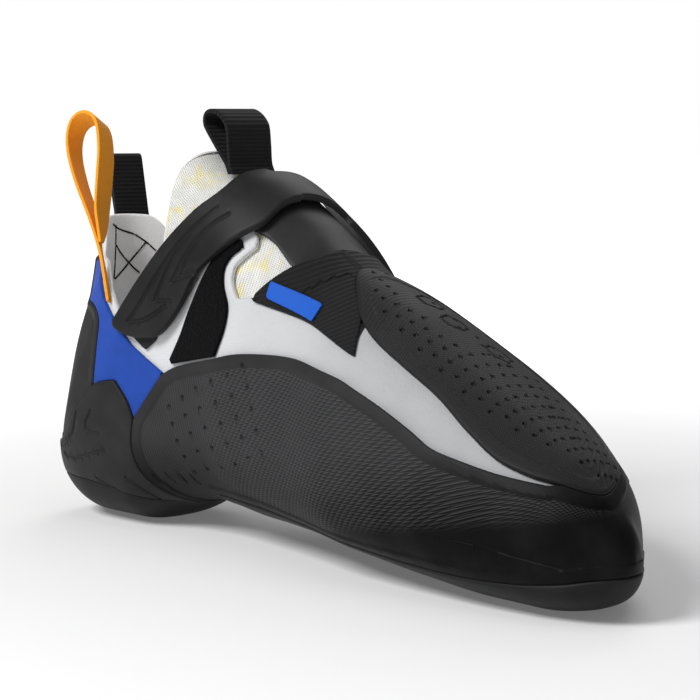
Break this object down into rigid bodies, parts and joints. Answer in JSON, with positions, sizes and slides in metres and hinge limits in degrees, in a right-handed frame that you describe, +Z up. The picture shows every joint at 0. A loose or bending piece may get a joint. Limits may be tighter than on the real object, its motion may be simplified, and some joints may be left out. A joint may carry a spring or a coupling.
{
  "type": "climbing shoe",
  "caption": "Left rock climbing shoe with a downturned toe, split rubber sole, wrapped rand, toe patch, one hook and loop strap over an elastic throat, and pull loops.",
  "frame": {"origin": "middle of the flat spot under the heel sole, on the floor plane", "axes": "+X towards the toe, +Y towards the shoe's outer side, +Z up from the floor"},
  "size_m": [0.2378, 0.0825, 0.1328],
  "materials": {
    "black_knit": "ribbed black elastic knit",
    "black_rubber": "smooth matt black rubber",
    "black_webbing": "ribbed black webbing",
    "blue_panel": "matt blue coated cloth",
    "hook_plastic": "black plastic hook tape",
    "insole_cloth": "grey lining cloth",
    "loop_pile": "fuzzy black loop pile",
    "mesh_cloth": "white mesh with faint yellow streaks",
    "midsole_board": "dark grey stiffening board",
    "orange_webbing": "orange woven webbing",
    "textured_rubber": "black rubber moulded with fine scales and dimples",
    "white_leather": "matt white synthetic leather"
  },
  "bodies": {
    "root": {"ankle_tab": "black_webbing", "gore": "black_knit", "heel_cup": "black_rubber", "heel_pull_loop": "orange_webbing", "heel_sole": "black_rubber", "heel_strip": "black_rubber", "hook_pad": "hook_plastic", "insole": "insole_cloth", "label_tag": "blue_panel", "loop_patch": "loop_pile", "midsole": "midsole_board", "outsole": "black_rubber", "rand": "textured_rubber", "side_panel_inner": "blue_panel", "side_panel_outer": "blue_panel", "strap": "black_rubber", "toe_patch": "textured_rubber", "tongue": "mesh_cloth", "tongue_loop": "black_webbing", "upper": "white_leather"}
  },
  "joints": []
}
